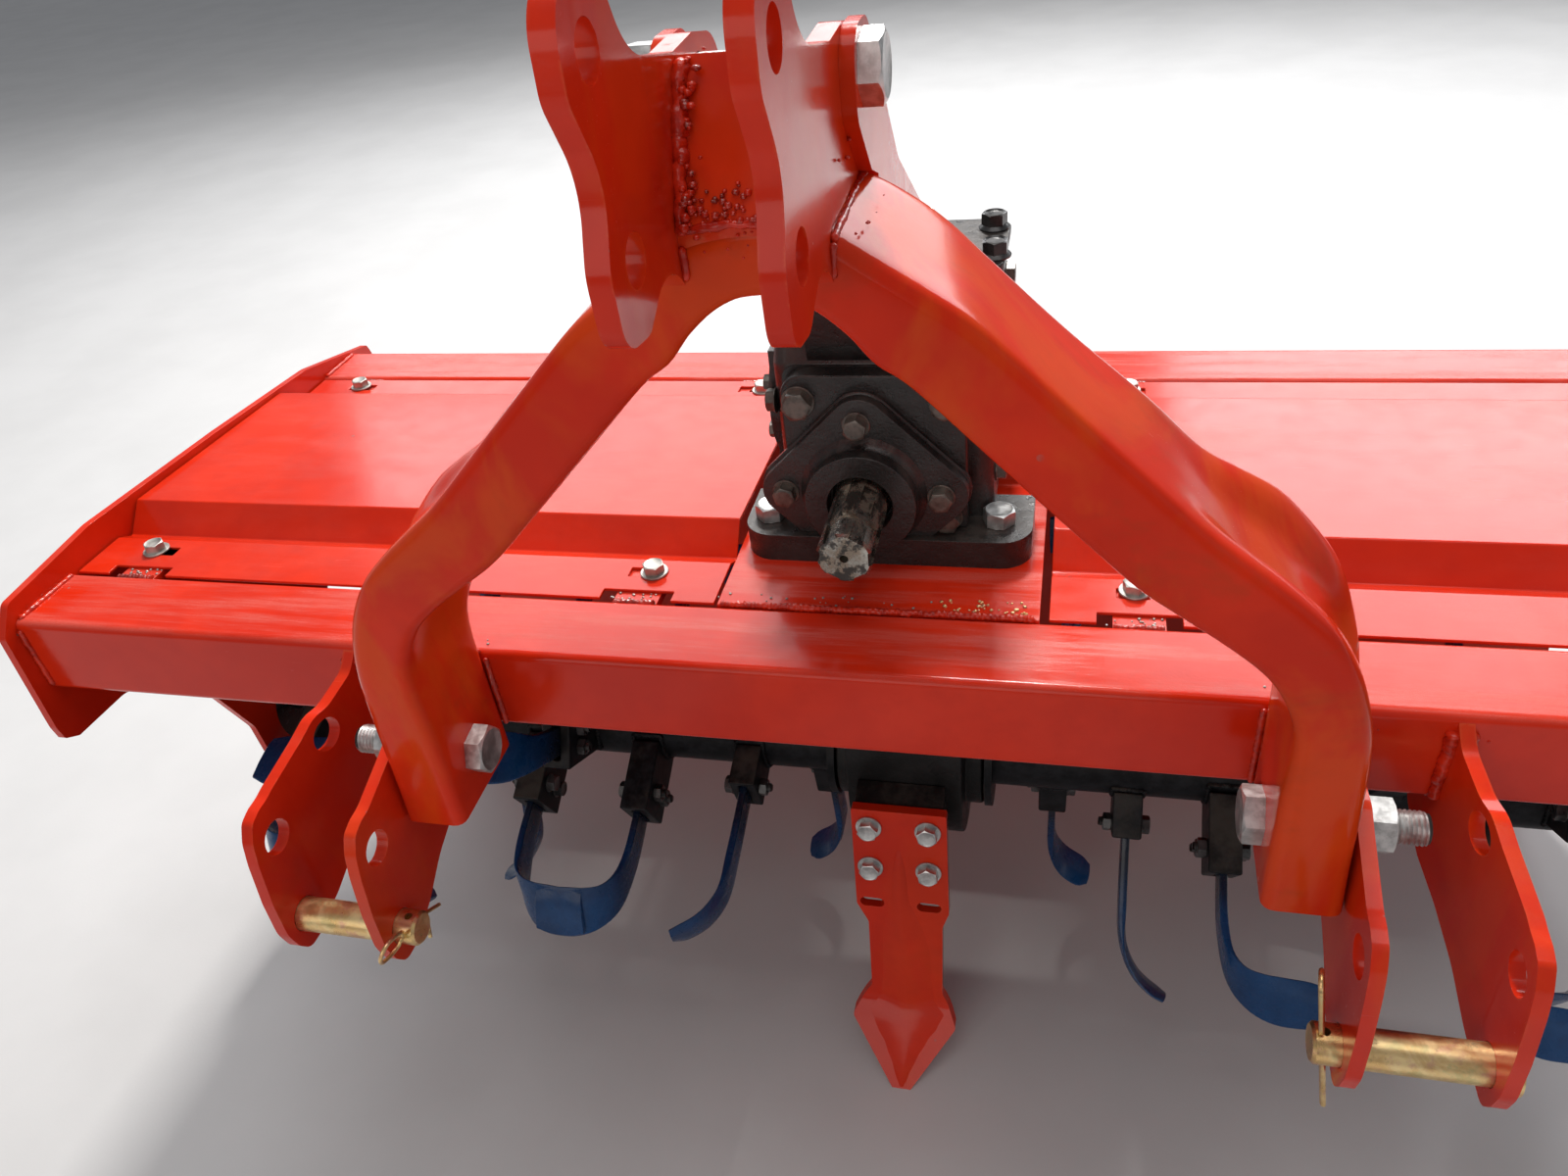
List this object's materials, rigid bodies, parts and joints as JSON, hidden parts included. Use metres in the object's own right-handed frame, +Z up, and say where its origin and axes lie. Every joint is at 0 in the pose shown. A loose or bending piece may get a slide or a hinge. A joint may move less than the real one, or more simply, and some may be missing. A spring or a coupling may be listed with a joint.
{
  "type": "rotary tiller",
  "caption": "Centre-drive rotary tiller for a three-point hitch: square-tube frame, bent mast, black gearbox with splined input, bladed rotor, ripper and hinged levelling board.",
  "frame": {"origin": "on the ground, under the middle of the bounding box", "axes": "+X across the machine, to the right of somebody standing in front of it; +Y rearwards, away from the tractor; +Z up"},
  "size_m": [1.63, 0.9408, 1.1594],
  "materials": {
    "red_paint": "glossy orange-red enamel with slight orange peel, chips and dust",
    "gearbox_black": "black painted casting, oily and dusty",
    "rotor_black": "satin black paint",
    "blade_blue": "thin blue paint on forged blades",
    "shaft_steel": "machined steel, oiled and stained",
    "bright_zinc": "bright zinc plate",
    "yellow_zinc": "yellow passivated zinc plate",
    "breather_black": "black plug"
  },
  "bodies": {
    "frame": {"board_hinge_lugs": "red_paint", "board_hinge_rod": "bright_zinc", "breather": "breather_black", "centre_deck_plate": "red_paint", "drop_case": "gearbox_black", "end_plate_left": "red_paint", "end_plate_right": "red_paint", "front_beam": "red_paint", "gearbox_front_cover": "gearbox_black", "gearbox_housing": "gearbox_black", "gearbox_side_cover": "gearbox_black", "gearbox_top_cover": "gearbox_black", "hitch_pin_left": "yellow_zinc", "hitch_pin_right": "yellow_zinc", "hood_panel_left": "red_paint", "hood_panel_right": "red_paint", "input_bearing_cap": "gearbox_black", "lower_hitch_plates_left": "red_paint", "lower_hitch_plates_right": "red_paint", "mast_foot_bolt_left": "bright_zinc", "mast_foot_bolt_right": "bright_zinc", "mast_tube": "red_paint", "mast_web": "red_paint", "rear_beam": "red_paint", "rear_stays": "red_paint", "ripper": "red_paint", "ripper_bracket": "gearbox_black", "rod_bracket_left": "red_paint", "rod_bracket_right": "red_paint", "rotor_bearing_left": "gearbox_black", "rotor_bearing_right": "gearbox_black", "stay_bolt_lower": "bright_zinc", "stay_bolt_upper": "bright_zinc", "top_hitch_plate_left": "red_paint", "top_hitch_plate_right": "red_paint"},
    "rotor": {"rotor_shaft": "shaft_steel", "rotor_tube_left": "rotor_black", "rotor_tube_right": "rotor_black", "blade_holders_left": "rotor_black", "blade_holders_right": "rotor_black", "blades_left": "blade_blue", "blades_right": "blade_blue"},
    "input": {"input_shaft": "shaft_steel"},
    "levelling_board": {"levelling_board": "red_paint", "board_rod_lugs": "red_paint", "board_rod_pins": "bright_zinc"},
    "spring_rod_left": {"spring_rod_left": "bright_zinc", "pressure_spring_left": "rotor_black"},
    "spring_rod_right": {"spring_rod_right": "bright_zinc", "pressure_spring_right": "rotor_black"}
  },
  "joints": [
    {"name": "rotor_spin", "type": "hinge", "parent": "frame", "child": "rotor", "pos_m": [0, 0.00838, 0.318], "axis": [1, 0, 0], "continuous": true},
    {"name": "input_spin", "type": "hinge", "parent": "frame", "child": "input", "pos_m": [0, -0.17162, 0.718], "axis": [0, 1, 0], "continuous": true},
    {"name": "board_hinge", "type": "hinge", "parent": "frame", "child": "levelling_board", "pos_m": [0, 0.35838, 0.592], "axis": [1, 0, 0], "range_deg": [0, 20]},
    {"name": "rod_swing_left", "type": "hinge", "parent": "levelling_board", "child": "spring_rod_left", "pos_m": [-0.44, 0.40038, 0.332], "axis": [1, 0, 0], "range_deg": [-1, 6]},
    {"name": "rod_swing_right", "type": "hinge", "parent": "levelling_board", "child": "spring_rod_right", "pos_m": [0.44, 0.40038, 0.332], "axis": [1, 0, 0], "range_deg": [-1, 6]}
  ],
  "couplings": [
    {"joint": "input_spin", "follows": "rotor_spin", "ratio": -2.6},
    {"joint": "rod_swing_left", "follows": "board_hinge", "ratio": 0.225},
    {"joint": "rod_swing_right", "follows": "board_hinge", "ratio": 0.225}
  ]
}
